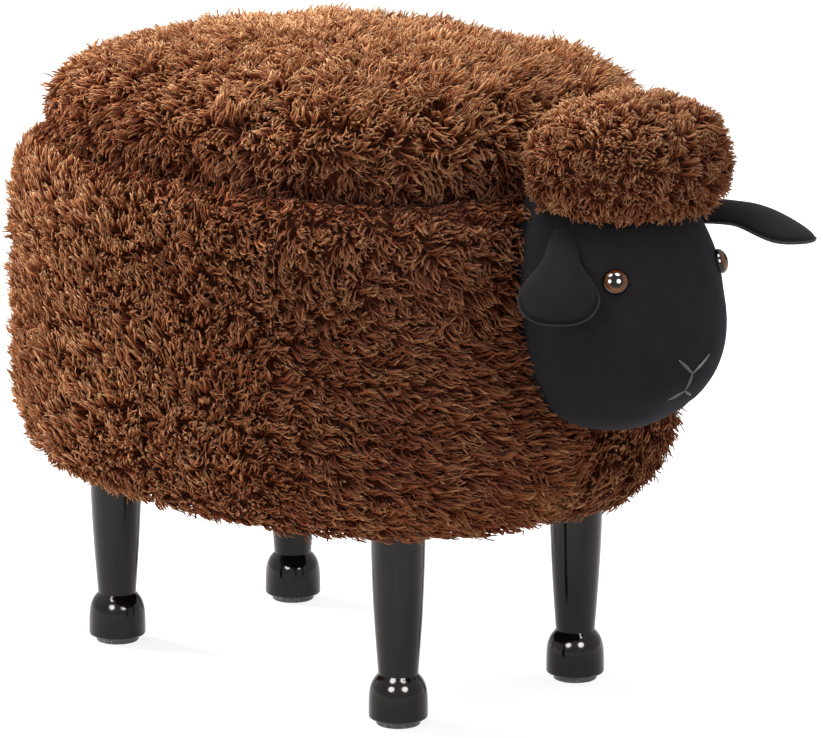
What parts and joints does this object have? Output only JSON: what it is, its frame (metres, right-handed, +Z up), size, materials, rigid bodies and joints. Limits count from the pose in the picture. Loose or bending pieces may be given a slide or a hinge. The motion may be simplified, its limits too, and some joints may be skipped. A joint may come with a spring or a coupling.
{
  "type": "animal footstool",
  "caption": "Low padded footstool shaped like a woolly sheep: an oval plush tub on turned black legs, a stuffed head at one end and a lift-off cushioned lid over a storage space.",
  "frame": {"origin": "on the floor, under the middle of the whole stool's box from the muzzle to the tail", "axes": "+Z up, -Y the way the sheep's head faces, +X towards the sheep's own left side"},
  "size_m": [0.3712, 0.5966, 0.4403],
  "materials": {
    "plush": "long-pile faux fur in curled locks, warm brown with tan tips, matt",
    "black_cloth": "spun-bonded and plain-woven black lining cloth, matt",
    "head_cloth": "charcoal brushed cloth with a short nap, matt",
    "foam": "cream open-cell upholstery foam",
    "fibre": "white polyester filling",
    "plywood": "raw birch plywood, sanded",
    "lacquer": "turned wood under gloss black lacquer",
    "glide_plastic": "dark grey moulded nail-on glide",
    "zinc": "zinc-plated steel",
    "eye_gloss": "polished amber-brown dome",
    "white_plastic": "natural white moulded plastic"
  },
  "bodies": {
    "stool": {"base_board": "plywood", "wall_panel": "plywood", "top_ring": "plywood", "wall_foam": "foam", "tub_cover": "plush", "tub_lining": "black_cloth", "base_dust_cover": "black_cloth", "leg_front_left": "lacquer", "leg_front_right": "lacquer", "leg_rear_left": "lacquer", "leg_rear_right": "lacquer", "glide_front_left": "glide_plastic", "glide_front_right": "glide_plastic", "glide_rear_left": "glide_plastic", "glide_rear_right": "glide_plastic", "hanger_bolt_front_left": "zinc", "hanger_bolt_front_right": "zinc", "hanger_bolt_rear_left": "zinc", "hanger_bolt_rear_right": "zinc", "t_nut_front_left": "zinc", "t_nut_front_right": "zinc", "t_nut_rear_left": "zinc", "t_nut_rear_right": "zinc", "head_back_board": "plywood", "head_bolt_upper": "zinc", "head_bolt_lower": "zinc", "head_t_nut_upper": "zinc", "head_t_nut_lower": "zinc", "head_skin": "head_cloth", "head_filling": "fibre", "wool_cap": "plush", "ear_left": "head_cloth", "ear_right": "head_cloth", "eye_left": "eye_gloss", "eye_right": "eye_gloss", "eye_washer_left": "white_plastic", "eye_washer_right": "white_plastic", "tail": "plush"},
    "lid": {"lid_board": "plywood", "lid_foam": "foam", "lid_cover": "plush", "lid_under_cloth": "black_cloth", "lid_locator": "plywood", "locator_screw_1": "zinc", "locator_screw_2": "zinc", "locator_screw_3": "zinc", "locator_screw_4": "zinc"}
  },
  "joints": [
    {"name": "lid_lift", "type": "slide", "parent": "stool", "child": "lid", "axis": [0, 0, 1], "range_m": [0, 0.2]}
  ]
}
